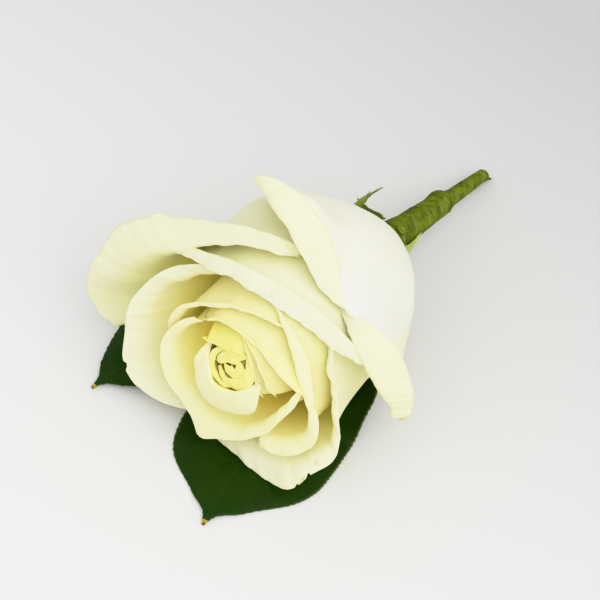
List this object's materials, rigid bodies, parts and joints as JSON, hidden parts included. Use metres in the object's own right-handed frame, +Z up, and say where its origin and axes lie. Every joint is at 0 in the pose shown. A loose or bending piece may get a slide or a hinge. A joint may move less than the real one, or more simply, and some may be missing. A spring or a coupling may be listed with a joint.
{
  "type": "boutonniere",
  "caption": "Lapel flower lying down: an open cream rose with sepals on a short wired and taped stem, resting on broad glossy leaves.",
  "frame": {"origin": "on the resting surface, below the middle of the bounding box", "axes": "+X from the open bloom toward the cut stem end, +Y across, +Z up from the surface"},
  "size_m": [0.1316, 0.087, 0.0709],
  "materials": {
    "petal_heart": "soft satin, pale yellow, fine veins",
    "petal_inner": "soft satin, cream to pale yellow, fine veins",
    "petal_outer": "soft satin, ivory white, fine veins",
    "sepal": "matte with toothed edges",
    "hip": "smooth, slightly waxy",
    "stem": "smooth green bark",
    "wire": "green lacquered",
    "tape": "waxed crepe, matte, crinkled",
    "leaf": "waxy gloss, fine veins, yellow tip"
  },
  "bodies": {
    "root": {"petal_heart_1": "petal_heart", "petal_heart_2": "petal_heart", "petal_heart_3": "petal_heart", "petal_heart_4": "petal_heart", "petal_heart_5": "petal_heart", "petal_inner_1": "petal_inner", "petal_inner_2": "petal_inner", "petal_inner_3": "petal_inner", "petal_inner_4": "petal_inner", "petal_middle_1": "petal_inner", "petal_middle_2": "petal_inner", "petal_middle_3": "petal_inner", "petal_left_1": "petal_outer", "petal_bottom_1": "petal_outer", "petal_band_1": "petal_outer", "petal_outer_left": "petal_outer", "petal_right_1": "petal_outer", "petal_under_1": "petal_outer", "petal_under_2": "petal_outer", "petal_top_right": "petal_outer", "sepal_1": "sepal", "sepal_2": "sepal", "sepal_3": "sepal", "sepal_4": "sepal", "sepal_5": "sepal", "rose_hip": "hip", "rose_stem": "stem", "florist_wire": "wire", "floral_tape": "tape", "leaf_right": "leaf", "leaf_left": "leaf"}
  },
  "joints": []
}
